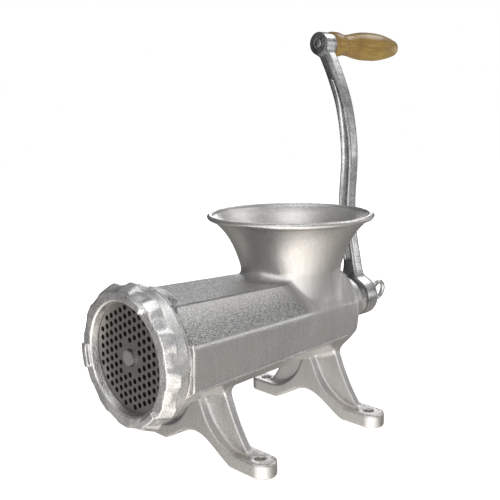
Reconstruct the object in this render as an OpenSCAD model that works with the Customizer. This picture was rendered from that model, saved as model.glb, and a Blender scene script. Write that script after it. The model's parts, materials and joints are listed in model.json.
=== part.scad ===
// Hand crank meat grinder, size 32, bolted to a table by four feet.
// Frame: +Z up, barrel along Y with its outlet toward -Y, origin on the table
// at the centre of the four foot bolts. Millimetres and degrees.

/* [Barrel] */
// Height of the barrel's axis above the table
axis_h = 103; // [98:1:112]
// Y of the barrel's front shoulder, behind the ring nut
barrel_front = -130.5; // [-132:0.5:-129]
// Length of the faceted barrel
barrel_len = 210.5; // [208:0.5:213]
// Size of the barrel's rear section against its front section
barrel_taper = 0.85; // [0.84:0.01:0.9]
// Radius of the feed bore at its front
bore_front_r = 39.5; // [38.5:0.1:40]
// Radius of the feed bore at its rear
bore_rear_r = 33; // [32.5:0.1:33.2]

/* [Hopper] */
// Y of the hopper's axis
hopper_y = 38.7; // [36:0.1:41]
// Outer radius of the throat
throat_r = 43; // [42:0.5:44]
// Outer radius of the funnel under its rim
funnel_r = 78.5; // [76:0.1:80]
// Height of the rim above the table
rim_z = 202; // [196:1:210]
// Wall thickness of the funnel
funnel_wall = 4.5; // [4:0.5:6]

/* [Feet] */
// Distance between the foot bolts across the barrel
foot_dx = 138.4; // [132:0.1:144]
// Distance between the foot bolts along the barrel
foot_dy = 146.3; // [142:0.1:150]
// Width of a leg and its pad
leg_w = 24; // [20:1:26]
// Thickness of a foot pad
pad_t = 13; // [10:1:15]
// Radius of a foot bolt hole
foot_hole_r = 4.5; // [3.5:0.1:5.5]

/* [Outlet] */
// Y of the ring nut's front face
ring_front = -158; // [-160:0.5:-157]
// Depth of the ring nut's front lip
lip_depth = 7.1; // [6:0.1:7.5]
// Radius of the outlet at the plate
outlet_r = 45.5; // [44:0.5:46]
// Radius of the grinding plate
plate_r = 49.9; // [49.9]
// Thickness of the grinding plate
plate_t = 12; // [12]
// Radius of a hole in the grinding plate
plate_hole_r = 2.3; // [1.5:0.1:2.6]
// Distance between neighbouring holes
plate_pitch = 7.4; // [7:0.1:9]
// Number of rounded lobes round the ring nut
lobes = 12; // [8:1:12]

/* [Crank] */
// Height of the crank boss above the barrel's axis
crank_rise = 262; // [240:1:280]
// Sideways offset of the crank boss
crank_side = -48.5; // [-60:0.5:-30]
// Radius of the crank's hub
hub_r = 19.8; // [19:0.1:24]
// Thickness of the crank arm
arm_t = 16; // [14:1:16]
// Length of the wooden grip
grip_len = 112; // [106:1:130]
// Largest radius of the wooden grip
grip_r = 15.1; // [14:0.1:17]

/* [Hidden] */

$fn = 96;
eps = 0.02;

// Running clearances on a radius
shaft_gap = 0.05;
thread_gap = 0.1;

// Stations along the barrel
barrel_rear = barrel_front + barrel_len;
plate_front = ring_front + lip_depth;
plate_rear = plate_front + plate_t;
neck_front = plate_front + 2;
neck_r = 54.6;
seat_r = plate_r + shaft_gap;
knife_cavity_r = 46;
bore_start = barrel_front + 7;
rear_wall_in = 78;
boss_r = 24;
boss_end = 121;
hub_front = 128;
hub_rear = 151;
shaft_r = 13;
bush_r = 16;
square_w = 18;

// Half of the barrel's section, from its top flat to its bottom flat
barrel_half = [[36, 45.4], [56.2, 14.5], [55, -24], [30, -41.5]];

// A point on a cubic curve, and the whole curve in n steps
function cubic(p, t) = pow(1 - t, 3) * p[0] + 3 * t * pow(1 - t, 2) * p[1]
    + 3 * t * t * (1 - t) * p[2] + pow(t, 3) * p[3];
function curve(p, n) = [for (i = [0 : n]) cubic(p, i / n)];

// A smooth line through a list of points: point at u, counted in points
function spline_at(p, u) =
    let (n = len(p) - 1, i = min(floor(u), n - 1), t = u - i,
         a = i == 0 ? 2 * p[0] - p[1] : p[i - 1], b = p[i], c = p[i + 1],
         d = i + 2 > n ? 2 * p[n] - p[n - 1] : p[i + 2])
    0.5 * (2 * b + (c - a) * t + (2 * a - 5 * b + 4 * c - d) * t * t
        + (3 * b - a - 3 * c + d) * t * t * t);

// Outer radius of the hopper at height z
hopper_low = 128;
function hopper_r(z) =
    let (t = min(1, max(0, z - hopper_low) / (rim_z - 2.5 - hopper_low)))
    throat_r + (funnel_r - throat_r) * (0.57 * pow(t, 1.25) + 0.43 * pow(t, 5));

// Puts a solid drawn upwards from z = 0 on the barrel's axis, running back from y
module along_y(y) {
    translate([0, y, axis_h]) rotate([-90, 0, 0]) children();
}

// The same for an outline: drawn with X across and Y up, extruded back from y
module slab_y(y, t) {
    translate([0, y + t, 0]) rotate([90, 0, 0]) linear_extrude(t) children();
}

module both_sides() {
    children();
    mirror([1, 0, 0]) children();
}

// Barrel, hopper and legs are one tinned iron casting

module barrel_outside() {
    mirrored = [for (i = [3 : -1 : 0]) [-barrel_half[i][0], barrel_half[i][1]]];
    translate([0, barrel_rear, axis_h]) rotate([90, 0, 0])
        linear_extrude(barrel_len, scale = 1 / barrel_taper)
            scale(barrel_taper) polygon(concat(barrel_half, mirrored));
    along_y(barrel_rear - 12) rotate_extrude() rear_dome_profile();
    along_y(boss_end - 40) cylinder(h = 40, r = boss_r);
}

// The barrel's rounded rear end, as a half section
module rear_dome_profile() {
    dome_r = 46;
    round_r = 14;
    dome_h = 26;
    polygon(concat([[0, 0], [dome_r, 0], [dome_r, dome_h - round_r]],
        [for (a = [15 : 15 : 90]) [dome_r - round_r + round_r * cos(a), dome_h - round_r + round_r * sin(a)]],
        [[0, dome_h]]));
}

// Round neck that carries the ring nut's thread
module neck() {
    thread_pitch = 3;
    thread_depth = 1.2;
    along_y(neck_front) difference() {
        cylinder(h = barrel_front + 3 - neck_front, r = neck_r);
        for (i = [0 : 5]) translate([0, 0, 1.5 + i * thread_pitch]) difference() {
            cylinder(h = 1.4, r = neck_r + 1);
            translate([0, 0, -1]) cylinder(h = 4, r = neck_r - thread_depth);
        }
    }
}

module hopper_outside() {
    steps = 12;
    step_h = (rim_z - 2 - hopper_low) / steps;
    profile = [for (i = [0 : steps]) let (z = hopper_low + i * step_h) [hopper_r(z), z]];
    translate([0, hopper_y, 0]) {
        rotate_extrude() polygon(concat([[0, axis_h], [throat_r, axis_h]], profile, [[0, rim_z - 2]]));
        translate([0, 0, rim_z - 2.5]) rotate_extrude() translate([funnel_r - 2.3, 0]) circle(r = 2.5, $fn = 32);
    }
    throat_skirt();
}

// Wide root of the throat, no wider than the barrel
module throat_skirt() {
    skirt_r = 54;
    skirt_half_w = 49.7;
    intersection() {
        translate([0, hopper_y, 110]) cylinder(h = 40, r1 = skirt_r, r2 = throat_r + 2);
        translate([-skirt_half_w, hopper_y - 60, 100]) cube([2 * skirt_half_w, 120, 60]);
    }
}

module hopper_inside() {
    steps = 10;
    step_h = (rim_z - hopper_low) / steps;
    profile = [for (i = [0 : steps]) let (z = hopper_low + i * step_h) [hopper_r(z) - funnel_wall, z]];
    throat_in = throat_r - funnel_wall - 4;
    translate([0, hopper_y, 0]) rotate_extrude() polygon(concat([[0, axis_h], [throat_in, axis_h]], profile,
        [[funnel_r - funnel_wall, rim_z + 1], [0, rim_z + 1]]));
}

// One arched pair of legs with its upright web, centred on y
module leg_pair(y) {
    half_dx = foot_dx / 2;
    pad_end = half_dx + 3.3;
    arch = [[0, 19.5], [15, 19.5], [28, 7], [44.3, 0]];
    shoulder = [[52, pad_t], [38, pad_t], [17, 24], [9, 46]];
    web_edge = [[60, pad_t - 2], [47, 26], [34, 50], [26, 76]];
    web_t = 7;
    both_sides() {
        slab_y(y - leg_w / 2, leg_w) polygon(concat(curve(arch, 10), [[pad_end, 0], [pad_end, pad_t]],
            curve(shoulder, 10), [[0, 62]]));
        slab_y(y - web_t / 2, web_t) polygon(concat([[0, 30], [30, 12]], curve(web_edge, 8), [[0, 76]]));
        translate([pad_end, y, 0]) cylinder(h = pad_t, r = leg_w / 2);
    }
}

module foot_holes() {
    for (x = [-1, 1], y = [-1, 1])
        translate([x * foot_dx / 2, y * foot_dy / 2, -1]) cylinder(h = pad_t + 2, r = foot_hole_r);
}

// Everything cut out of the casting along the barrel's axis
module barrel_inside() {
    rifle_r = 2;
    rifle_lean = atan((bore_front_r - bore_rear_r) / (rear_wall_in - bore_start));
    along_y(neck_front - 1) cylinder(h = plate_rear - neck_front + 1, r = seat_r);
    along_y(plate_rear - eps) cylinder(h = barrel_front - plate_rear + 2 * eps, r = knife_cavity_r);
    along_y(barrel_front) cylinder(h = bore_start - barrel_front + eps, r1 = knife_cavity_r, r2 = bore_front_r);
    along_y(bore_start) cylinder(h = rear_wall_in - bore_start, r1 = bore_front_r, r2 = bore_rear_r);
    for (i = [0 : 7]) along_y(bore_start) rotate([0, 0, 22.5 + i * 45]) translate([bore_front_r - 0.6, 0, 0])
        rotate([0, -rifle_lean, 0]) cylinder(h = rear_wall_in - bore_start - 6, r = rifle_r, $fn = 24);
    along_y(rear_wall_in - 1) cylinder(h = boss_end - rear_wall_in + 2, r = bush_r);
}

pin_r = 2.5;
pin_y = neck_front + 6;
module pin_hole() {
    translate([0, pin_y, axis_h - neck_r - 1]) cylinder(h = 8, r = pin_r, $fn = 32);
}

module body_casting() {
    color("silver") difference() {
        union() {
            barrel_outside();
            neck();
            hopper_outside();
            for (y = [-1, 1]) leg_pair(y * foot_dy / 2);
        }
        hopper_inside();
        barrel_inside();
        foot_holes();
        pin_hole();
    }
}

// Short radial pin that keeps the plate from turning
module plate_locating_pin() {
    pin_in = 47.2;
    color("gray") translate([0, pin_y, axis_h - neck_r + 0.3])
        cylinder(h = neck_r - 0.3 - pin_in, r = pin_r, $fn = 32);
}

// Lobed nut with a front lip that holds the plate, and three raised pads for a spanner
module ring_nut() {
    lobe_r = 13;
    lobe_top = 62.3;
    valley_r = 58.5;
    front_r = 57;
    lobe_end = 11;
    nut_len = 21.5;
    mouth_r = outlet_r + 1.7;
    color("silver") {
        along_y(ring_front) difference() {
            union() {
                cylinder(h = nut_len, r = valley_r);
                for (i = [0 : lobes - 1]) rotate([0, 0, 4.5 + i * 360 / lobes])
                    translate([lobe_top - lobe_r, 0, 0]) cylinder(h = lobe_end, r = lobe_r, $fn = 48);
            }
            difference() {
                translate([0, 0, -1]) cylinder(h = 5, r = 70);
                translate([0, 0, -1.01]) cylinder(h = 5.02, r1 = front_r - 1.5, r2 = front_r + 6);
            }
            translate([0, 0, -1]) cylinder(h = 1 + eps, r = mouth_r);
            cylinder(h = lip_depth + eps, r1 = mouth_r, r2 = outlet_r);
            translate([0, 0, lip_depth]) cylinder(h = nut_len, r = neck_r + thread_gap);
        }
        for (i = [0 : 2]) along_y(ring_front) rotate([0, 0, -(79 + i * 120)]) spanner_pad();
    }
}

// A raised pad on the ring nut's face, with sloped ends left out
module spanner_pad() {
    pad_angle = 22;
    pad_h = 3;
    translate([0, 0, -pad_h]) rotate_extrude(angle = pad_angle) translate([50.3, 0]) square([6, pad_h + 0.5]);
}

// Perforated steel plate, with a bearing hole for the stud and a slot for the pin
module grinding_plate() {
    ring_in = 14;
    ring_out = 42;
    rows = 9;
    turn = 2.9;
    color("dimgray") along_y(plate_front) difference() {
        cylinder(h = plate_t, r = plate_r);
        rotate([0, 0, turn]) for (i = [-rows : rows], j = [-rows : rows])
            let (x = i * plate_pitch * cos(30), y = (j + i / 2) * plate_pitch, r = norm([x, y]))
                if (r > ring_in && r < ring_out)
                    translate([x, y, -1]) cylinder(h = plate_t + 2, r = plate_hole_r, $fn = 20);
        translate([0, 0, -1]) cylinder(h = plate_t + 2, r = stud_r + shaft_gap);
        translate([0, 0, -eps]) cylinder(h = 1.2, r1 = 7.6, r2 = stud_r + shaft_gap);
        translate([-pin_r - 0.1, 46.9, -1]) cube([2 * pin_r + 0.2, 5, plate_t + 2]);
    }
}

// Four swept blades on a square seat, running against the plate
knife_front = plate_rear + shaft_gap;
knife_t = 10;
stud_r = 6.35;
seat_w = 16;
module cutter_knife() {
    blade_t = 5;
    blade = [[5, -7], [24, -8.5], [42, -4], [42.6, 2], [30, 5.5], [5, 8]];
    color("gray") along_y(knife_front) difference() {
        union() {
            cylinder(h = knife_t, r = 15);
            for (i = [0 : 3]) rotate([0, 0, i * 90]) linear_extrude(blade_t) polygon(blade);
        }
        translate([-seat_w / 2 - shaft_gap, -seat_w / 2 - shaft_gap, -1])
            cube([seat_w + 2 * shaft_gap, seat_w + 2 * shaft_gap, knife_t + 2]);
    }
}

// Steel pin in the auger's nose: plain journal for the plate, square seat for the knife
auger_nose = knife_front + knife_t + 0.2;
stud_tail = 24;
module auger_stud() {
    color("silver") {
        along_y(plate_front - 2.5) cylinder(h = knife_front - plate_front + 3, r = stud_r);
        along_y(knife_front) translate([-seat_w / 2, -seat_w / 2, 0]) cube([seat_w, seat_w, auger_nose - knife_front]);
        along_y(auger_nose - eps) cylinder(h = stud_tail, r = stud_r);
    }
}

// Feed screw: tapered flight on a core, thrust collar, journal and square tail
flight_gap = 0.8;
flight_start = auger_nose + 1;
flight_end = rear_wall_in - 12;
flight_steps = 84;
flight_turns = 4.25;
core_r = 17;
collar_rear = rear_wall_in - 2.2;
function flight_r(y) = bore_front_r - flight_gap
    - (bore_front_r - bore_rear_r) * max(0, y - bore_start) / (rear_wall_in - bore_start);

// The flight is one swept bar, four corners a step
module flight() {
    flight_t = 5;
    corners = [for (i = [0 : flight_steps])
        let (u = i / flight_steps, a = -360 * flight_turns * u, y = flight_start + (flight_end - flight_start) * u,
             r = flight_r(y + flight_t))
        for (q = [[core_r - 3, 0], [r, 0.8], [r, flight_t - 1.2], [core_r - 3, flight_t]])
            [q[0] * cos(a), y + q[1], axis_h + q[0] * sin(a)]];
    sides = [for (i = [0 : flight_steps - 1], k = [0 : 3])
        let (a = 4 * i + k, b = 4 * i + (k + 1) % 4)
        for (face = [[a, b, b + 4], [a, b + 4, a + 4]]) face];
    last = 4 * flight_steps;
    polyhedron(corners, concat([[0, 2, 1], [0, 3, 2]], sides, [[last, last + 1, last + 2], [last, last + 2, last + 3]]));
}

module auger() {
    screw_r = 5;
    screw_depth = 20;
    color("silver") difference() {
        union() {
            along_y(auger_nose) cylinder(h = collar_rear - auger_nose, r = core_r);
            flight();
            along_y(collar_rear - 7) cylinder(h = 7, r = 24);
            along_y(collar_rear - eps) cylinder(h = boss_end + 4 - collar_rear, r = shaft_r);
            along_y(boss_end + 3) translate([-square_w / 2, -square_w / 2, 0])
                cube([square_w, square_w, hub_rear - boss_end - 3.5]);
        }
        along_y(auger_nose - 1) cylinder(h = stud_tail + 1, r = stud_r);
        along_y(hub_rear - screw_depth) cylinder(h = screw_depth + 1, r = screw_r + thread_gap, $fn = 48);
    }
}

// Washer between the auger's collar and the casting's rear wall
module thrust_washer() {
    color("white") along_y(collar_rear + 0.1) difference() {
        cylinder(h = 2, r = 23.5);
        translate([0, 0, -1]) cylinder(h = 4, r = shaft_r + 0.2);
    }
}

// Flanged sleeve that carries the auger's journal
module rear_bushing() {
    color("goldenrod") along_y(rear_wall_in + 0.5) difference() {
        union() {
            cylinder(h = boss_end - rear_wall_in - 0.5, r = bush_r);
            translate([0, 0, boss_end - rear_wall_in - 0.5]) cylinder(h = 4, r = 18.5);
        }
        translate([0, 0, -1]) cylinder(h = 80, r = shaft_r + shaft_gap);
    }
}

// Crank arm: hub with a square hole, curved fluted arm, round boss
boss_x = crank_side;
boss_z = axis_h + crank_rise;
arm_mid = [[0, 0], [-7, 38], [-13, 70], [-14.5, 100], [-12, 150], [-18.5, 194], [-31, 228],
           [crank_side, crank_rise]];
arm_front = hub_front + 5.5;
boss_front = arm_front - 0.1;
crank_boss_r = 11.8;
crank_boss_len = 16.2;

// Half width of the arm at u, counted in points of its middle line
function arm_half_w(u) = 6.6 - 0.15 * u;
function arm_point(u, side, inset) =
    let (p = spline_at(arm_mid, u), q = spline_at(arm_mid, min(u + 0.05, 7)) - spline_at(arm_mid, max(u - 0.05, 0)),
         s = side * (arm_half_w(u) - inset) / norm(q))
    [p[0] + q[1] * s, p[1] - q[0] * s];

// Outline of the arm between two stations, drawn in from its edges by inset
module arm_outline(from, to, inset) {
    n = 30;
    right = [for (i = [0 : n]) arm_point(from + (to - from) * i / n, 1, inset)];
    left = [for (i = [n : -1 : 0]) arm_point(from + (to - from) * i / n, -1, inset)];
    polygon(concat(right, left));
}

module arm_hub() {
    chamfer = 5;
    along_y(hub_front) cylinder(h = chamfer, r1 = hub_r - 4.5, r2 = hub_r);
    along_y(hub_front + chamfer - eps) cylinder(h = hub_rear - hub_front - chamfer - 1.5, r = hub_r);
    along_y(hub_rear - 1.5 - 2 * eps) cylinder(h = 1.5 + 2 * eps, r1 = hub_r, r2 = hub_r - 1.5);
}

module crank_arm() {
    flute_d = 2.6;
    flute_inset = 2;
    color("gray") difference() {
        union() {
            arm_hub();
            translate([0, 0, axis_h]) slab_y(arm_front, arm_t) arm_outline(0, 7, 0);
            translate([boss_x, boss_front, boss_z]) rotate([-90, 0, 0])
                cylinder(h = crank_boss_len, r = crank_boss_r);
        }
        translate([0, 0, axis_h]) slab_y(arm_front - 1, flute_d + 1) arm_outline(1.3, 6.1, flute_inset);
        translate([0, 0, axis_h]) slab_y(arm_front + arm_t - flute_d, flute_d + 1) arm_outline(1.3, 6.1, flute_inset);
        along_y(hub_front - 1) translate([-square_w / 2 - shaft_gap, -square_w / 2 - shaft_gap, 0])
            cube([square_w + 2 * shaft_gap, square_w + 2 * shaft_gap, hub_rear - hub_front + 2]);
        translate([boss_x, arm_front - 2, boss_z]) rotate([-90, 0, 0]) cylinder(h = 30, r = spindle_r);
    }
}

// Plain washer under the thumb screw
washer_t = 2.5;
module crank_washer() {
    color("silver") along_y(hub_rear + eps) difference() {
        cylinder(h = washer_t, r = 15);
        translate([0, 0, -1]) cylinder(h = 5, r = 5.3, $fn = 48);
    }
}

// Screw with a ring for the fingers, which holds the crank on the auger's square tail
screw_head = hub_rear + washer_t + 2 * eps;
module thumb_screw() {
    ring_r = 9.1;
    wire_r = 2.4;
    lean = 9;
    neck_len = 14;
    shank_len = 18;
    color("gray") {
        along_y(screw_head - shank_len) cylinder(h = shank_len + eps, r = 5, $fn = 48);
        along_y(screw_head) cylinder(h = 4, r = 9);
        along_y(screw_head + 4 - eps) cylinder(h = neck_len - 4, r1 = 8, r2 = 3.6);
        along_y(screw_head + neck_len + ring_r) rotate([0, 0, lean]) rotate([0, 90, 0])
            rotate_extrude() translate([ring_r, 0]) circle(r = wire_r, $fn = 32);
    }
}

// Turned wooden grip that spins on the spindle
spindle_r = 4.5;
grip_start = boss_front + crank_boss_len + 1.7;
head_recess = 9;
module on_grip_axis(y) {
    translate([boss_x, y, boss_z]) rotate([-90, 0, 0]) children();
}

function grip_profile() = concat([[11.9, 0], [12.9, 1.6]],
    curve([[12.9, 9], [12.8, 14], [10.9, 17], [10.8, 23]], 6),
    curve([[10.8, 28], [11.6, 42], [grip_r, 52], [grip_r, 72]], 8),
    curve([[grip_r, 78], [grip_r, 92], [12.6, 103], [9.4, grip_len - 4]], 8),
    [[8.4, grip_len - 1.2], [7.4, grip_len]]);

module wooden_grip() {
    color("burlywood") on_grip_axis(grip_start) difference() {
        rotate_extrude() polygon(concat([[0, 0]], grip_profile(), [[0, grip_len]]));
        translate([0, 0, -1]) cylinder(h = grip_len + 2, r = spindle_r + shaft_gap);
        translate([0, 0, grip_len - head_recess]) cylinder(h = head_recess + 1, r = 5.7);
    }
}

// Steel spindle: peened into the crank's boss, headed inside the grip's tip
module grip_spindle() {
    head_y = grip_start + grip_len - head_recess + 1.7;
    color("silver") {
        on_grip_axis(arm_front - 1.4) cylinder(h = head_y - arm_front + 1.5, r = spindle_r);
        on_grip_axis(head_y) cylinder(h = 3.5, r = 5.3);
    }
}

module grip_inner_washer() {
    color("silver") on_grip_axis(grip_start - 1.6) difference() {
        cylinder(h = 1.5, r = 11.2);
        translate([0, 0, -1]) cylinder(h = 4, r = spindle_r + 0.2);
    }
}

module grip_outer_washer() {
    color("silver") on_grip_axis(grip_start + grip_len - head_recess + 0.1) difference() {
        cylinder(h = 1.5, r = 5.5);
        translate([0, 0, -1]) cylinder(h = 4, r = spindle_r + 0.2);
    }
}

body_casting();
plate_locating_pin();
ring_nut();
grinding_plate();
cutter_knife();
auger();
auger_stud();
thrust_washer();
rear_bushing();
crank_arm();
crank_washer();
thumb_screw();
wooden_grip();
grip_spindle();
grip_inner_washer();
grip_outer_washer();
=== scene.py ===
"""Looks of the hand crank meat grinder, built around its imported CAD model.

Shapes are in millimetres, in the frame of the CAD: +Z up, barrel along Y, outlet toward -Y.
Cast pieces are signed distance fields, negative inside, joined with fillets and then meshed.
"""

import json
import math

import bpy
import numpy as np
from mathutils import Matrix, Vector

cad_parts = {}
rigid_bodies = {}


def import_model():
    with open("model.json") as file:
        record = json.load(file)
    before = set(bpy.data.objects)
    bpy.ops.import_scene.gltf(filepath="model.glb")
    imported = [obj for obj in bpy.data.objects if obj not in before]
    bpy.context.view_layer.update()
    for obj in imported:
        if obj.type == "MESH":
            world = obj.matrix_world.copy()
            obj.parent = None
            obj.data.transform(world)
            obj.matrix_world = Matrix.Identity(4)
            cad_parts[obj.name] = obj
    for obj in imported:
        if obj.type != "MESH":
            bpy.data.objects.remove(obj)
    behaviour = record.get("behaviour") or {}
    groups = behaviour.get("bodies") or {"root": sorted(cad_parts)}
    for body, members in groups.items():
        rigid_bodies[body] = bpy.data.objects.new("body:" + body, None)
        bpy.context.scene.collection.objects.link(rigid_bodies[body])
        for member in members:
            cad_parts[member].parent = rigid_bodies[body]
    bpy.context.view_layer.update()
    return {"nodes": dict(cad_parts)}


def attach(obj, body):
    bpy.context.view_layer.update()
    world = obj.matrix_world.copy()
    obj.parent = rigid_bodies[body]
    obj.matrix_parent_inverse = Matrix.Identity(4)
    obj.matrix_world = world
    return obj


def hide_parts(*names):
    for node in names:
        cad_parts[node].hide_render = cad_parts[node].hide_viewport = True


MM = 0.001

# The barrel's axis, and stations along it
AXIS_Z = 103
BARREL_FRONT = -130.5
BARREL_LEN = 210.5
TAPER = 0.85
BARREL_HALF = [(36, 45.4), (55.7, 15.3), (56.2, 13.5), (55, -22), (30, -41.5)]
RING_FRONT = -158
NECK_FRONT = -148.9
NECK_R = 54.6
THREAD_PITCH = 3
BOSS_END = 121

# Parting line on the barrel's lower crease
LINE_END = 72
LINE_R = 1.3
LINE_ROUGH = 0.5
LINE_SIDES = 8

# Hopper
HOPPER_Y = 38.7
THROAT_R = 43
FUNNEL_R = 78.5
FLARE_LOW = 128
RIM_Z = 202
WALL = 4.5

# Feet
FOOT_X = 69.2
FOOT_Y = 73.15
LEG_W = 24
PAD_T = 13
PAD_END = FOOT_X + 3.3

# Crank
HUB_FRONT = 128
HUB_REAR = 151
HUB_R = 19.8
ARM_FRONT = 133.5
ARM_T = 16
CRANK_X = -48.5
CRANK_Z = AXIS_Z + 262
BOSS_R = 11.8
GRIP_START = 151.3
GRIP_LEN = 112
SCREW_HEAD = 153.54


# ---------- signed distance fields ----------

def samples(low, high, step):
    """X, Y and Z of a block of sample points, shaped so that they broadcast."""
    x, y, z = (np.arange(a, b + step, step, dtype=np.float32) for a, b in zip(low, high))
    return x[:, None, None], y[None, :, None], z[None, None, :]


def join(a, b, fillet=None):
    """Union of two fields, with a fillet."""
    if fillet is None:
        return np.minimum(a, b)
    near = np.maximum(fillet - np.abs(a - b), 0) / fillet
    return np.minimum(a, b) - near * near * (fillet / 4)


def meet(a, b, rounding=None):
    """Intersection of two fields, with its edge rounded."""
    return -join(-a, -b, rounding)


def cut(a, b, rounding=None):
    return meet(a, -b, rounding)


def rounded_disc(reach, along, radius, start, end, rounding):
    """Cylinder with round edges: reach is the distance from its axis."""
    side = reach - (radius - rounding)
    face = np.abs(along - (start + end) / 2) - ((end - start) / 2 - rounding)
    outside = np.hypot(np.maximum(side, 0), np.maximum(face, 0))
    return outside + np.minimum(np.maximum(side, face), 0) - rounding


def outline_field(points, u, v):
    """Distance to a closed outline in a plane."""
    nearest = None
    inside = False
    for (u0, v0), (u1, v1) in zip(points, points[1:] + points[:1]):
        du, dv = u1 - u0, v1 - v0
        along = np.clip(((u - u0) * du + (v - v0) * dv) / (du * du + dv * dv), 0, 1)
        gap = (u - u0 - along * du) ** 2 + (v - v0 - along * dv) ** 2
        nearest = gap if nearest is None else np.minimum(nearest, gap)
        if dv:
            inside = inside ^ (((v0 > v) != (v1 > v)) & (u < u0 + (v - v0) * du / dv))
    return np.where(inside, -1, 1) * np.sqrt(nearest)


def cubic(p, n):
    """n + 1 points along a cubic curve with four control points."""
    out = []
    for i in range(n + 1):
        t = i / n
        w = ((1 - t) ** 3, 3 * t * (1 - t) ** 2, 3 * t * t * (1 - t), t ** 3)
        out.append(tuple(sum(a * q[k] for a, q in zip(w, p)) for k in (0, 1)))
    return out


def surface(name, field, low, step):
    """Mesh of the zero surface of a sampled field: one point in each cell that it crosses."""
    strides = np.array([field.shape[1] * field.shape[2], field.shape[2], 1])
    inside = field < 0
    values = np.ascontiguousarray(field).reshape(-1)
    points, rings = [], []
    for axis in range(3):
        near = tuple(slice(0, -1) if k == axis else slice(1, -1) for k in range(3))
        far = tuple(slice(1, None) if k == axis else slice(1, -1) for k in range(3))
        edges = np.argwhere(inside[near] != inside[far])
        edges += [0 if k == axis else 1 for k in range(3)]
        start = edges @ strides
        a, b = values[start], values[start + strides[axis]]
        where = edges.astype(float)
        where[:, axis] += a / (a - b)
        u, v = strides[(axis + 1) % 3], strides[(axis + 2) % 3]
        ring = np.stack([start - u - v, start - v, start, start - u], 1)
        ring[a > 0] = ring[a > 0][:, ::-1]
        rings.append(ring)
        points.append(np.repeat(where, 4, axis=0))
    rings = np.concatenate(rings)
    points = np.concatenate(points)
    _, index = np.unique(rings.reshape(-1), return_inverse=True)
    index = index.reshape(-1)
    count = np.bincount(index)
    mean = np.stack([np.bincount(index, points[:, k]) / count for k in range(3)], 1)
    return solid_mesh(name, np.array(low) + step * mean, index.reshape(-1, 4))


def solid_mesh(name, points, faces):
    """Object with smooth quad faces, from points in millimetres."""
    mesh = bpy.data.meshes.new(name)
    mesh.vertices.add(len(points))
    mesh.vertices.foreach_set("co", (np.asarray(points) * MM).astype(np.float32).ravel())
    mesh.loops.add(faces.size)
    mesh.loops.foreach_set("vertex_index", faces.astype(np.int32).ravel())
    mesh.polygons.add(len(faces))
    mesh.polygons.foreach_set("loop_start", np.arange(0, faces.size, 4, dtype=np.int32))
    mesh.update(calc_edges=True)
    mesh.polygons.foreach_set("use_smooth", np.ones(len(faces), bool))
    mesh.validate()
    obj = bpy.data.objects.new(name, mesh)
    bpy.context.scene.collection.objects.link(obj)
    return obj


def tube_faces(rings, sides):
    """Faces between rings of points, each with the same number of sides."""
    i = np.arange(rings - 1)[:, None] * sides
    j = np.arange(sides)[None, :]
    k = (j + 1) % sides
    faces = np.stack([i + j, i + k, i + sides + k, i + sides + j], 2).reshape(-1, 4)
    return faces[:, ::-1]


def turned(name, profile, centre, sides=128, wobble=None):
    """Solid of revolution along +Y: profile is (radius, distance along), closed at both ends on the axis.
    wobble(radius, angle, along) may shift the radius."""
    profile = np.array(profile, float)
    angle = np.linspace(0, 2 * math.pi, sides, endpoint=False)
    radius = np.repeat(profile[:, :1], sides, 1)
    along = np.repeat(profile[:, 1:], sides, 1)
    if wobble:
        radius = wobble(radius, angle[None, :], along)
    x = centre[0] + radius * np.cos(angle)
    z = centre[2] - radius * np.sin(angle)
    points = np.stack([x, centre[1] + along, z], 2).reshape(-1, 3)
    return solid_mesh(name, points, tube_faces(len(profile), sides))


# ---------- the casting ----------

def barrel_size(y):
    """Size of the barrel's section at y, against its front."""
    return 1 - (1 - TAPER) * (y - BARREL_FRONT) / BARREL_LEN


def barrel_field(x, y, z):
    size = barrel_size(y)
    px, pz = np.abs(x) / size, (z - AXIS_Z) / size
    points = [(0, BARREL_HALF[0][1]), *BARREL_HALF, (0, BARREL_HALF[-1][1])]
    field = None
    for (x0, z0), (x1, z1) in zip(points, points[1:]):
        side = ((px - x0) * (z0 - z1) + (pz - z0) * (x1 - x0)) / math.hypot(x1 - x0, z1 - z0)
        field = side if field is None else meet(field, side, 0.7)
    field = meet(field * size, BARREL_FRONT - y, 1.5)
    return meet(field, y - 90, 17)


def hopper_radius(z):
    t = np.clip((z - FLARE_LOW) / (RIM_Z - 2.5 - FLARE_LOW), 0, 1)
    return THROAT_R + (FUNNEL_R - THROAT_R) * (0.57 * t ** 1.25 + 0.43 * t ** 5)


def hopper_outside(x, y, z):
    reach = np.hypot(x, y - HOPPER_Y)
    slope = np.cos(np.arctan(np.gradient(hopper_radius(z)[0, 0], z[0, 0])))[None, None, :]
    funnel = meet((reach - hopper_radius(z)) * slope, z - (RIM_Z - 2.5))
    root = 8.5 * np.clip((152 - z) / 35, 0, 1.5) ** 1.1
    flare = meet(reach - hopper_radius(z) - root, np.abs(x) - 56 * barrel_size(y), 2.5)
    return meet(join(funnel, meet(flare, z - 152)), 95 - z)


def hopper_rim(x, y, z):
    reach = np.hypot(x, y - HOPPER_Y)
    return np.hypot(reach - (FUNNEL_R - 2.5), z - (RIM_Z - 2.7)) - 2.6


def hopper_inside(x, y, z):
    reach = np.hypot(x, y - HOPPER_Y)
    radius = hopper_radius(z) - WALL - 4 * np.clip((140 - z) / 12, 0, 1)
    slope = np.cos(np.arctan(np.gradient(hopper_radius(z)[0, 0], z[0, 0])))[None, None, :]
    return meet((reach - radius) * slope, AXIS_Z - z)


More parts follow.
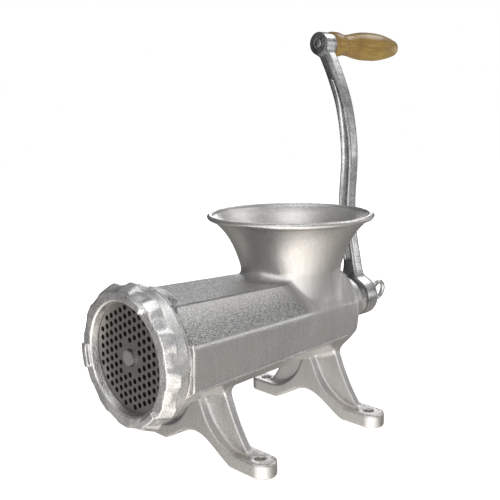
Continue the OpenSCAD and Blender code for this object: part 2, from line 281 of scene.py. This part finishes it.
def leg_field(x, y, z):
    """Both pairs of legs: arched straps with round pads, each with an upright web."""
    side = np.abs(x)
    off = np.abs(np.abs(y) - FOOT_Y)
    arch = cubic([(0, 19.5), (15, 19.5), (28, 7), (44.3, 0)], 12)
    shoulder = cubic([(52, PAD_T), (38, PAD_T), (17, 24), (9, 46)], 14)
    strap = [(-20, 19.5)] + arch + [(110, 0), (110, PAD_T)] + shoulder + [(0, 62), (-20, 62)]
    ridge = cubic([(61, PAD_T - 2), (47, 26), (34, 50), (26, 76)], 14)
    web = [(-20, 30), (0, 30), (30, 12)] + ridge + [(0, 76), (-20, 76)]
    plan = np.hypot(np.maximum(side - PAD_END, 0), off) - LEG_W / 2 + 0.05
    straps = meet(outline_field(strap, side, z), plan, 1.8)
    draft = 3 + 0.02 * np.clip(70 - side, 0, 60)
    webs = meet(outline_field(web, side, z), off - draft, 1.0)
    return join(straps, webs, 4)


def bore_field(x, y, z):
    """Everything open inside the barrel."""
    reach = np.hypot(x, z - AXIS_Z)
    feed = reach - (39.5 - 6.5 * np.clip((y + 123.5) / 201.5, 0, 1))
    angle = np.arctan2(z - AXIS_Z, x)
    feed = feed - 1.6 * np.clip(np.cos(8 * angle), 0, 1) ** 4
    field = meet(feed, y - 78)
    for radius, end in ((46, BARREL_FRONT), (49.95, -138.9)):
        field = join(field, meet(reach - radius, y - end))
    return join(field, reach - 16)


def body_casting():
    step = 1.1
    low, high = (-88, -152, -3), (88, 125, 206)
    x, y, z = samples(low, high, step)
    reach = np.hypot(x, z - AXIS_Z)
    barrel = barrel_field(x, y, z)
    barrel = join(barrel, rounded_disc(reach, y, 44.5, 20, 94, 13), 7)
    barrel = join(barrel, rounded_disc(reach, y, 24, 60, BOSS_END, 1.5), 5)
    barrel = join(barrel, rounded_disc(reach, y, NECK_R - 1.2, NECK_FRONT, -120, 0.8), 0.5)
    hopper = join(hopper_outside(x, y, z), hopper_rim(x, y, z), 3)
    soft = 1.8 + 12 * np.clip((36 - np.abs(x)) / 26, 0, 1)
    field = join(barrel, hopper, soft)
    field = join(field, leg_field(x, y, z), 7)
    inside = join(hopper_inside(x, y, z), bore_field(x, y, z), 2)
    field = cut(field, inside, 0.8)
    holes = np.hypot(np.abs(x) - FOOT_X, np.abs(y) - FOOT_Y) - 4.5
    field = cut(field, meet(holes, z - 30), 1)
    return surface("casting", np.broadcast_to(field, (x.size, y.size, z.size)), low, step)


def parting_line(name, side):
    """Slightly rough raised line along the barrel's lower crease, on one side."""
    rng = np.random.default_rng(len(name))
    y = np.arange(BARREL_FRONT + 1, LINE_END, 0.8)
    size = barrel_size(y)
    swell = LINE_R * (1 + LINE_ROUGH * (rng.random(len(y)) - 0.5))
    swell *= np.clip(np.minimum(y - y[0], y[-1] - y) / 6, 0.02, 1)
    crease_x, crease_z = BARREL_HALF[3]
    angle = np.linspace(0, 2 * math.pi, LINE_SIDES, endpoint=False)
    x = side * (crease_x * size)[:, None] + swell[:, None] * np.cos(angle)
    z = AXIS_Z + (crease_z * size)[:, None] + swell[:, None] * np.sin(angle)
    x = x + 0.25 * LINE_ROUGH * (rng.random(x.shape) - 0.5)
    z = z + 0.25 * LINE_ROUGH * (rng.random(z.shape) - 0.5)
    points = np.stack([x, np.repeat(y[:, None], LINE_SIDES, 1), z], 2).reshape(-1, 3)
    return solid_mesh(name, points, tube_faces(len(y), LINE_SIDES))


def neck_thread():
    """The neck's screw thread: a right-hand helix."""
    start, end = NECK_FRONT + 0.6, BARREL_FRONT + 1
    rows = [(NECK_R - 2.4, start)] + [(NECK_R - 0.6, start + i * 0.25) for i in range(int((end - start) * 4))]

    def thread(radius, angle, along):
        phase = along / THREAD_PITCH - angle / (2 * math.pi)
        wave = np.abs((phase % 1) * 2 - 1)
        return radius - 0.8 + 1.4 * np.clip(wave * 1.8 - 0.4, 0, 1) * (radius > NECK_R - 1)

    return turned("neck_thread", rows + [(NECK_R - 2.4, end)], (0, 0, AXIS_Z), 180, thread)


# ---------- ring nut ----------

def ring_nut():
    step = 0.6
    low, high = (-67, RING_FRONT - 5, AXIS_Z - 67), (67, RING_FRONT + 24, AXIS_Z + 67)
    x, y, z = samples(low, high, step)
    y = y - RING_FRONT
    reach = np.hypot(x, z - AXIS_Z)
    angle = np.degrees(np.arctan2(z - AXIS_Z, x))
    lobe_turn = np.radians((angle + 4.5 + 15) % 30 - 15)
    out, across = reach * np.cos(lobe_turn), np.abs(reach * np.sin(lobe_turn))
    top = (out - 57.3 - 0.45 * y) * 0.91
    flank = (across - 7.5) * 0.5 + (out - 56.6 - 0.35 * y) * 0.82
    lobes = meet(meet(top, flank, 1.2), y - 11.3, 1.2)
    body = meet(rounded_disc(reach, y, 58.5, 0, 21.5, 1), (reach - 56.2 - 0.4 * y) * 0.93, 0.8)
    field = meet(join(body, lobes, 0.6), -y, 0.8)
    pad_turn = np.abs((angle - 68 + 60) % 120 - 60)
    pads = meet(np.abs(reach - 53.3) - 3.2, np.radians(pad_turn - 11) * 53.3, 1.2)
    pads = meet(pads, np.abs(y) - 3, 1.2)
    field = join(field, pads, 1)
    mouth = reach - (47.2 - 1.7 * np.clip(y / 7.1, 0, 1))
    field = cut(field, mouth, 1.4)
    field = cut(field, meet(reach - (NECK_R + 0.3), 7.1 - y), 0.6)
    return surface("ring", np.broadcast_to(field, (x.size, y.size, z.size)), low, step)


# ---------- crank ----------

ARM_LINE = [(0, 0), (-7, 38), (-13, 70), (-14.5, 100), (-12, 150), (-18.5, 194), (-31, 228),
            (CRANK_X, CRANK_Z - AXIS_Z)]


def spline_point(points, u):
    n = len(points) - 1
    i = min(int(u), n - 1)
    t = u - i
    b, c = points[i], points[i + 1]
    a = points[i - 1] if i else tuple(2 * p - q for p, q in zip(b, c))
    d = points[i + 2] if i + 2 <= n else tuple(2 * q - p for p, q in zip(b, c))
    return tuple(0.5 * (2 * q + (r - p) * t + (2 * p - 5 * q + 4 * r - s) * t * t
                        + (3 * q - p - 3 * r + s) * t ** 3) for p, q, r, s in zip(a, b, c, d))


def arm_outline(start, end, inset, taper=0):
    """Outline of the arm between two stations of its middle line, as seen from the outlet.
    It narrows toward its upper end by taper."""
    right, left = [], []
    for i in range(37):
        u = start + (end - start) * i / 36
        x, z = spline_point(ARM_LINE, u)
        x0, z0 = spline_point(ARM_LINE, max(u - 0.05, 0))
        x1, z1 = spline_point(ARM_LINE, min(u + 0.05, 7))
        narrow = taper * min(max((u - 4.2) / (end - 4.2), 0), 1)
        half = (6.8 - 0.15 * u - inset - narrow) / math.hypot(x1 - x0, z1 - z0)
        right.append((x + (z1 - z0) * half, AXIS_Z + z - (x1 - x0) * half))
        left.append((x - (z1 - z0) * half, AXIS_Z + z + (x1 - x0) * half))
    return right + left[::-1]


def crank_arm():
    step = 0.7
    low, high = (-64, 124, 80), (24, 154, 380)
    x, y, z = samples(low, high, step)
    reach = np.hypot(x, z - AXIS_Z)
    web = 6 + 20 * np.clip(0.5 - x / 12, 0, 1)
    arm = join(outline_field(arm_outline(0, 7, -0.5), x, z), reach - HUB_R + 0.5, web)
    middle = ARM_FRONT + ARM_T / 2
    field = meet(arm, np.abs(y - middle) - ARM_T / 2, 4.4)
    hub = rounded_disc(reach, y, HUB_R, HUB_FRONT, HUB_REAR, 1.2)
    hub = meet(hub, (reach - 15.3 - (y - HUB_FRONT)) * 0.707, 0.8)
    field = join(field, hub, 4)
    top = np.hypot(x - CRANK_X, z - CRANK_Z)
    boss = rounded_disc(top, y, BOSS_R, ARM_FRONT - 0.1, ARM_FRONT + 16.1, 1.3)
    field = join(field, boss, 4)
    flute = outline_field(arm_outline(1.0, 5.9, 2, 3), x, z)
    flute = meet(flute, ARM_T / 2 - 2.6 - np.abs(y - middle), 3)
    field = cut(field, flute, 1)
    square = meet(np.abs(x) - 9.05, np.abs(z - AXIS_Z) - 9.05)
    field = cut(field, square, 0.5)
    field = cut(field, top - 4.6, 0.6)
    return surface("crank", np.broadcast_to(field, (x.size, y.size, z.size)), low, step)


def spindle():
    """Spindle of the grip: a peened dome at the boss, a head inside the grip's tip."""
    front = ARM_FRONT - 1.2
    head = GRIP_START + GRIP_LEN - 7.3
    dome = [(4.6 * math.sin(math.radians(a)) + 0.01, front + 1.1 - 1.1 * math.cos(math.radians(a)))
            for a in range(0, 91, 10)]
    return turned("spindle", dome + [(4.5, front + 2), (4.5, head), (5.3, head), (5.3, head + 3),
                                     (4.6, head + 3.4), (0.01, head + 3.4)], (CRANK_X, 0, CRANK_Z), 48)


def grip():
    def part(*p):
        return cubic(list(p), 10)

    belly = 15.1
    outer = [(4.7, 0.3), (10.9, 0.2), (11.9, 0.5), (12.6, 1.2), (12.9, 2.2)]
    outer += part((12.9, 9), (12.8, 14), (10.9, 17), (10.8, 23))
    outer += part((10.8, 27), (12.2, 37), (belly, 46), (belly, 62))[1:]
    outer += part((belly, 74), (14.2, 89), (11.4, 101), (9.2, GRIP_LEN - 3.4))
    outer += part((8.9, GRIP_LEN - 2.4), (8.4, GRIP_LEN - 1), (7.8, GRIP_LEN), (6.8, GRIP_LEN))
    bore = [(5.7, GRIP_LEN - 0.5), (5.7, GRIP_LEN - 9), (4.6, GRIP_LEN - 9), (4.6, 0.3)]
    return turned("grip", outer + bore + [outer[0]], (CRANK_X, GRIP_START, CRANK_Z), 96)


def thumb_screw():
    step = 0.5
    low, high = (-13, 134, AXIS_Z - 13), (13, 193, AXIS_Z + 13)
    x, y, z = samples(low, high, step)
    dz = z - AXIS_Z
    reach = np.hypot(x, dz)
    field = rounded_disc(reach, y, 5, SCREW_HEAD - 18, SCREW_HEAD + 2, 0.6)
    field = join(field, rounded_disc(reach, y, 9, SCREW_HEAD, SCREW_HEAD + 4, 1.2), 1)
    neck = (reach - (8 - 0.44 * (y - SCREW_HEAD - 4))) * 0.91
    field = join(field, meet(meet(neck, SCREW_HEAD + 3 - y), y - SCREW_HEAD - 14), 1.5)
    lean = math.radians(9)
    across = x * math.cos(lean) - dz * math.sin(lean)
    up = x * math.sin(lean) + dz * math.cos(lean)
    circle = np.hypot(y - (SCREW_HEAD + 14 + 9.1), up) - 9.1
    ring = np.hypot(circle, across) - 2.4
    field = join(field, ring, 3)
    return surface("finger_screw", np.broadcast_to(field, (x.size, y.size, z.size)), low, step)


# ---------- materials ----------

class Nodes:
    """Short calls for one material's node tree."""

    def __init__(self, name):
        self.material = bpy.data.materials.new(name)
        self.material.use_nodes = True
        self.tree = self.material.node_tree
        self.shader = self.tree.nodes["Principled BSDF"]
        self.place = self.add("ShaderNodeTexCoord").outputs["Object"]

    def add(self, kind, inputs=None, **settings):
        node = self.tree.nodes.new(kind)
        for key, value in settings.items():
            setattr(node, key, value)
        for key, value in (inputs or {}).items():
            self.put(node.inputs[key], value)
        return node

    def put(self, socket, value):
        if isinstance(value, bpy.types.NodeSocket):
            self.tree.links.new(value, socket)
        else:
            socket.default_value = value

    def set(self, **values):
        for key, value in values.items():
            self.put(self.shader.inputs[key.replace("_", " ").title().replace("Ior", "IOR")], value)

    def parts(self, vector=None):
        """X, Y and Z of a vector, or of the place on the piece, in metres."""
        return self.add("ShaderNodeSeparateXYZ", {"Vector": vector or self.place}).outputs

    def vector(self, operation, *values):
        return self.add("ShaderNodeVectorMath", dict(enumerate(values)), operation=operation)

    def stretch(self, scale):
        return self.add("ShaderNodeMapping", {"Vector": self.place, "Scale": scale}).outputs[0]

    def noise(self, scale, detail=3, rough=0.5, where=None, distortion=0.0):
        inputs = {"Vector": where or self.place, "Scale": scale, "Detail": detail,
                  "Roughness": rough, "Distortion": distortion}
        return self.add("ShaderNodeTexNoise", inputs).outputs["Fac"]

    def ramp(self, value, stops):
        """Maps a value to colours or greys: stops is [(position, grey or colour)]."""
        node = self.add("ShaderNodeValToRGB", {"Fac": value})
        ramp = node.color_ramp
        while len(ramp.elements) < len(stops):
            ramp.elements.new(0.5)
        for element, (position, tone) in zip(ramp.elements, stops):
            element.position = position
            element.color = (*((tone,) * 3 if isinstance(tone, (int, float)) else tone), 1)
        return node.outputs["Color"]

    def math(self, operation, a, b=0.0, c=0.0):
        node = self.add("ShaderNodeMath", operation=operation)
        for socket, value in zip(node.inputs, (a, b, c)):
            self.put(socket, value)
        return node.outputs[0]

    def range(self, value, low, high, to_low=0.0, to_high=1.0):
        inputs = {"Value": value, "From Min": low, "From Max": high, "To Min": to_low, "To Max": to_high}
        return self.add("ShaderNodeMapRange", inputs).outputs[0]

    def mix(self, factor, a, b):
        node = self.add("ShaderNodeMix", data_type="RGBA")
        self.put(node.inputs["Factor"], factor)
        for key, value in ((6, a), (7, b)):
            self.put(node.inputs[key], value)
        return node.outputs[2]

    def bump(self, height, distance, strength=1.0, under=None):
        inputs = {"Height": height, "Distance": distance, "Strength": strength}
        if under is not None:
            inputs["Normal"] = under
        return self.add("ShaderNodeBump", inputs).outputs[0]


def grey(tone, warm=0.0):
    return (tone * (1 + warm), tone, tone * (1 - warm), 1)


def crease(m, start, slope, along):
    """Place of one of the barrel's creases, which taper toward the rear."""
    return m.math("SUBTRACT", start, m.math("MULTIPLY", along, slope))


def tinned_casting():
    """Bright tin over a sand casting: grainy on the barrel's upper sides, satin elsewhere, with a painted
    highlight along the crease above the barrel's side and a painted dark line along the crease below its top.
    """
    m = Nodes("tinned casting")
    across, along, up = m.parts()
    above = m.math("SUBTRACT", up, crease(m, 0.1168, 0.0103, along))
    shoulder = m.math("SUBTRACT", m.math("ABSOLUTE", across), crease(m, 0.0327, 0.0257, along))
    from_hopper = m.vector("SUBTRACT", m.place, (0, HOPPER_Y * MM, 0)).outputs[0]
    level = m.vector("MULTIPLY", from_hopper, (1, 1, 0)).outputs[0]
    reach = m.vector("LENGTH", level).outputs["Value"]

    # Where: the barrel clear of the hopper, its upper sides, and its creases
    open_side = m.math("MULTIPLY", m.range(reach, 0.050, 0.058), m.range(along, 0.032, 0.010))
    open_side = m.math("MULTIPLY", open_side, m.range(above, 0.040, 0.033))
    upper = m.math("MULTIPLY", m.range(above, 0.001, 0.002), open_side)
    # Painted highlight: a near-white line along the crease above the barrel's side, fading toward the rear
    # and the hopper
    edge = m.math("MULTIPLY", m.range(m.math("ABSOLUTE", above), 0.0014, 0.0006), open_side)
    pale = m.math("MULTIPLY", m.range(above, 0.010, 0.026), m.range(shoulder, 0.0002, 0.0010))
    # Painted shade: a dark line along the crease below the barrel's top
    crease_shade = m.math("MULTIPLY", m.range(m.math("ABSOLUTE", shoulder), 0.0010, 0.0004), upper)

    grain = m.noise(800, 2, 0.7)
    fine = m.noise(1700, 2, 0.6)
    broad = m.noise(30, 4, 0.55)
    brushed = m.noise(260, 3, 0.6, m.stretch((1, 1, 0.12)))
    specks = m.ramp(m.math("ADD", m.math("MULTIPLY", grain, 0.6), m.math("MULTIPLY", fine, 0.4)),
                    [(0.42, 0), (0.58, 1)])
    satin = m.mix(m.math("ADD", m.math("MULTIPLY", broad, 0.5), m.math("MULTIPLY", brushed, 0.5)),
                  grey(0.48, 0.015), grey(0.85, 0.015))
    sanded = m.mix(pale, m.mix(specks, grey(0.22), grey(0.82)), m.mix(specks, grey(0.74), grey(1.0)))
    # The dark line along that crease is painted shade
    tone = m.mix(crease_shade, m.mix(upper, satin, sanded), grey(0.38))
    rough = m.math("ADD", m.range(fine, 0.3, 0.7, 0.21, 0.33), m.range(reach, 0.070, 0.052, 0.0, 0.06))
    # The near-white line along the crease is a painted highlight
    m.set(base_color=m.mix(edge, tone, grey(0.96)), metallic=1.0,
          roughness=m.math("SUBTRACT", rough, m.math("MULTIPLY", edge, 0.06)))

    coarse = m.math("ADD", grain, m.math("MULTIPLY", fine, 0.4))
    coarse = m.math("MULTIPLY", coarse, m.range(upper, 0, 1, 0.16, 1.0))
    waves = m.math("ADD", broad, m.math("MULTIPLY", brushed, 0.06))
    m.set(normal=m.bump(coarse, 0.0018, 1.0, m.bump(waves, 0.0008, 0.25)))
    return m.material


def tinned_ring():
    m = Nodes("tinned ring")
    blots = m.noise(45, 4, 0.6, distortion=0.4)
    specks = m.noise(700, 2, 0.6)
    tone = m.math("ADD", m.math("MULTIPLY", blots, 0.55), m.math("MULTIPLY", specks, 0.45))
    m.set(base_color=m.mix(m.ramp(tone, [(0.40, 0), (0.60, 1)]), grey(0.60), grey(0.95, 0.01)),
          metallic=1.0, roughness=m.range(m.noise(120, 3), 0.35, 0.65, 0.24, 0.40))
    m.set(normal=m.bump(specks, 0.0006, 0.6, m.bump(m.noise(70, 3, 0.5), 0.0008, 0.5)))
    return m.material


def plate_steel():
    m = Nodes("plate steel")
    lines = m.noise(60, 4, 0.6, m.stretch((1, 1, 26)))
    m.set(base_color=m.mix(lines, grey(0.20, 0.04), grey(0.32, 0.04)), metallic=1.0,
          roughness=m.range(lines, 0.3, 0.7, 0.36, 0.52), normal=m.bump(lines, 0.0002, 0.5))
    return m.material


def ground_steel(name, tone, rough):
    m = Nodes(name)
    lines = m.noise(90, 3, 0.6, m.stretch((1, 12, 1)))
    m.set(base_color=m.mix(lines, grey(tone * 0.85), grey(tone * 1.1)), metallic=1.0,
          roughness=m.range(lines, 0.3, 0.7, rough * 0.8, rough * 1.25), normal=m.bump(lines, 0.0002, 0.4))
    return m.material


def polished_iron():
    """Crank: plated iron, satin, with fine specks. Its front faces get a coarser bump and painted shade, a
    much darker tone.
    """
    m = Nodes("polished iron")
    # Painted shade: the faces toward the outlet are made darker than the flanks
    shaded_front = m.range(m.parts()[1], (ARM_FRONT + 1.6) * MM, (ARM_FRONT + 0.6) * MM)
    grain = m.noise(900, 2, 0.6)
    blend = m.math("ADD", m.math("MULTIPLY", m.noise(70, 4), 0.4), m.math("MULTIPLY", grain, 0.6))
    specks = m.ramp(blend, [(0.40, 0), (0.62, 1)])
    flank = m.mix(specks, grey(0.38, -0.008), grey(0.86, -0.004))
    # Painted shade: the much darker copy of the tone used on those front faces
    face = m.mix(specks, grey(0.09, -0.008), grey(0.34, -0.004))
    m.set(base_color=m.mix(shaded_front, flank, face), metallic=1.0,
          roughness=m.range(m.noise(180, 3, 0.6), 0.35, 0.65, 0.18, 0.27))
    m.set(normal=m.bump(grain, m.range(shaded_front, 0, 1, 0.0002, 0.0006), 0.6))
    return m.material


def fibre():
    m = Nodes("fibre")
    m.set(base_color=m.mix(m.noise(300, 3), (0.74, 0.70, 0.60, 1), (0.86, 0.84, 0.76, 1)), roughness=0.6)
    return m.material


def lacquered_wood():
    """Pale hardwood under clear lacquer: grain lines along the grip, browner toward its ends."""
    m = Nodes("lacquered wood")
    along = m.stretch((1.0, 0.13, 1.0))
    lines = m.noise(210, 5, 0.6, along, 0.8)
    fine = m.noise(1100, 3, 0.6, m.stretch((1.0, 0.05, 1.0)))
    patches = m.noise(26, 3, 0.5, m.stretch((1.0, 0.8, 1.0)), 0.5)
    colour = m.mix(m.ramp(lines, [(0.34, 0), (0.66, 1)]), (0.22, 0.125, 0.014, 1), (0.39, 0.25, 0.032, 1))
    far = m.math("ABSOLUTE", m.math("SUBTRACT", m.parts()[1], 0.208))
    patches = m.math("ADD", patches, m.range(far, 0.022, 0.05, 0.0, 0.16))
    colour = m.mix(m.ramp(patches, [(0.48, 0), (0.66, 1)]), colour, (0.21, 0.10, 0.016, 1))
    colour = m.mix(m.math("MULTIPLY", fine, 0.35), colour, (0.20, 0.12, 0.03, 1))
    m.set(base_color=colour, roughness=m.range(fine, 0.3, 0.7, 0.34, 0.48),
          coat_weight=0.35, coat_roughness=0.16, normal=m.bump(fine, 0.0003, 0.3))
    return m.material


# ---------- stage, lights, camera ----------

# The surroundings that the metal shows: direction, narrowness and strength of each bright part
WORLD_BASE = 0.09
WORLD_LOBES = (
    ((0.42, -0.68, -0.6), 1.9, 1.9),      # the pale table before the grinder
    ((0.9, 0.4, 0.0), 1.0, 0.16),         # the right-hand side
    ((0.0, 0.0, 1.0), 1.0, 0.32),         # above
    ((0.0, 0.0, -1.0), 1.0, 0.34),        # below
    ((0.70, 0.70, 0.11), 110.0, 2.4),     # a strip that lights the barrel's long crease
    ((0.70, 0.71, -0.03), 260.0, 2.4),    # a strip that lights the crank arm's flank
    ((0.03, 0.99, -0.04), 60.0, 2.6),     # behind, for the rear edges
    ((0.33, 0.66, 0.64), 40.0, 1.1),      # high behind, for the tops of the feet's straps
)


def emitter(name, place, target, size, power):
    """Soft rectangular light."""
    light = bpy.data.lights.new(name, "AREA")
    light.shape = "RECTANGLE"
    light.size, light.size_y = size
    light.energy = power
    obj = bpy.data.objects.new(name, light)
    obj.location = place
    obj.rotation_euler = (Vector(target) - Vector(place)).to_track_quat("-Z", "Y").to_euler()
    bpy.context.scene.collection.objects.link(obj)


def floor():
    """Wide plain pale floor. Metal shows the surroundings' tone below instead of it."""
    obj = turned("floor", [(0.01, 0), (300, 0), (4000, 0)], (0, 0, 0), 64)
    obj.data.transform(Matrix.Rotation(math.radians(-90), 4, "X"))
    obj.data.transform(Matrix.Translation((0, 0, -0.0003)))
    m = Nodes("floor")
    m.set(base_color=m.mix(m.noise(3, 2), (0.84, 0.835, 0.83, 1), (0.86, 0.855, 0.85, 1)), roughness=0.9,
          emission_color=(1, 0.995, 0.985, 1), emission_strength=0.85)
    obj.data.materials.append(m.material)
    obj.visible_glossy = False


def studio():
    """White surroundings, which the metal reflects dimmer and uneven, as a studio's walls and cards."""
    world = bpy.data.worlds.new("studio")
    bpy.context.scene.world = world
    world.use_nodes = True
    tree = world.node_tree
    tree.nodes.clear()

    def add(kind, inputs=None, **settings):
        node = tree.nodes.new(kind)
        for key, value in settings.items():
            setattr(node, key, value)
        for key, value in (inputs or {}).items():
            if isinstance(value, bpy.types.NodeSocket):
                tree.links.new(value, node.inputs[key])
            else:
                node.inputs[key].default_value = value
        return node

    place = add("ShaderNodeTexCoord").outputs["Generated"]
    up = add("ShaderNodeSeparateXYZ", {0: place}).outputs[2]

    def math_node(operation, *values):
        node = add("ShaderNodeMath", dict(enumerate(values)), operation=operation)
        return node.outputs[0]

    def facing(direction, power, amount):
        """Brighter toward a direction."""
        node = add("ShaderNodeVectorMath", {0: place, 1: direction}, operation="DOT_PRODUCT")
        toward = math_node("MAXIMUM", node.outputs["Value"], 0.0)
        return math_node("MULTIPLY", math_node("POWER", toward, power), amount)

    strength = WORLD_BASE
    for direction, power, amount in WORLD_LOBES:
        strength = math_node("ADD", strength, facing(direction, power, amount))
    warm = add("ShaderNodeMapRange", {"Value": up, "From Min": 0.0, "From Max": -0.6})
    tints = {0: warm.outputs[0], 6: (1, 1, 1, 1), 7: (1, 0.955, 0.89, 1)}
    tint = add("ShaderNodeMix", tints, data_type="RGBA")
    lit = add("ShaderNodeBackground", {"Color": tint.outputs[2], "Strength": strength})
    seen = add("ShaderNodeBackground", {"Color": (1, 1, 1, 1)})
    camera_ray = add("ShaderNodeLightPath").outputs["Is Camera Ray"]
    mix = add("ShaderNodeMixShader", {0: camera_ray, 1: lit.outputs[0], 2: seen.outputs[0]})
    add("ShaderNodeOutputWorld", {"Surface": mix.outputs[0]})
    emitter("key", (0.35, -1.5, 0.75), (0, 0, 0.12), (1.8, 1.3), 4.6)
    emitter("rear", (-1.1, 1.2, 0.55), (0, 0, 0.1), (0.9, 0.3), 2.8)
    emitter("high", (0.05, 1.1, 1.2), (0, 0, 0.1), (0.6, 0.5), 2.6)
    emitter("top", (0.2, -0.3, 1.9), (0, 0, 0), (0.8, 0.8), 4.5)


def camera():
    """Where the photograph was taken from."""
    place, target = Vector((0.5055, -0.4992, 0.2991)), Vector((0.01135, -0.0259, 0.17567))
    data = bpy.data.cameras.new("camera")
    data.sensor_width = 36
    data.lens = 56.34
    data.clip_start = 0.01
    obj = bpy.data.objects.new("camera", data)
    roll = Matrix.Rotation(math.radians(-0.838), 3, "Z")
    turn = (target - place).to_track_quat("-Z", "Y").to_matrix() @ roll
    obj.matrix_world = Matrix.Translation(place) @ turn.to_4x4()
    bpy.context.scene.collection.objects.link(obj)
    bpy.context.scene.camera = obj


# ---------- assembly ----------

def finish_piece(obj, body, material, slot, *nodes):
    """Gives a new piece its material, and tells the frame which body it rides and which nodes it replaces."""
    obj.data.materials.clear()
    obj.data.materials.append(material)
    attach(obj, body)
    if nodes:
        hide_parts(*nodes)


def repaint(frame, node, material):
    """Gives one of the CAD's own meshes a material."""
    obj = frame["nodes"][node]
    if not obj.material_slots:
        obj.data.materials.append(material)
    for place in obj.material_slots:
        place.material = material


def main():
    bpy.context.scene.view_settings.view_transform = "Standard"
    for obj in list(bpy.data.objects):
        bpy.data.objects.remove(obj)
    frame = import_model()
    camera()
    studio()
    floor()

    tin, iron, zinc = tinned_casting(), polished_iron(), ground_steel("zinc steel", 0.62, 0.28)
    bright = tinned_ring()
    finish_piece(body_casting(), "casting", tin, "tinned_casting", "body_casting")
    finish_piece(neck_thread(), "casting", bright, "tinned_casting")
    for side, label in ((1, "right"), (-1, "left")):
        finish_piece(parting_line("parting_line_" + label, side), "casting", tin, "tinned_casting")
    finish_piece(ring_nut(), "ring", bright, "tinned_ring", "ring_nut")
    finish_piece(crank_arm(), "rotor", iron, "crank_iron", "crank_arm")
    finish_piece(spindle(), "rotor", iron, "zinc_steel", "grip_spindle")
    finish_piece(grip(), "grip", lacquered_wood(), "grip_wood", "wooden_grip")
    finish_piece(thumb_screw(), "screw", iron, "crank_iron", "thumb_screw")

    tool = ground_steel("tool steel", 0.5, 0.32)
    repaint(frame, "grinding_plate", plate_steel())
    for node in ("cutter_knife", "plate_locating_pin"):
        repaint(frame, node, tool)
    for node in ("auger_stud", "rear_bushing", "crank_washer", "grip_inner_washer", "grip_outer_washer"):
        repaint(frame, node, zinc)
    repaint(frame, "auger", tin)
    repaint(frame, "thrust_washer", fibre())


main()
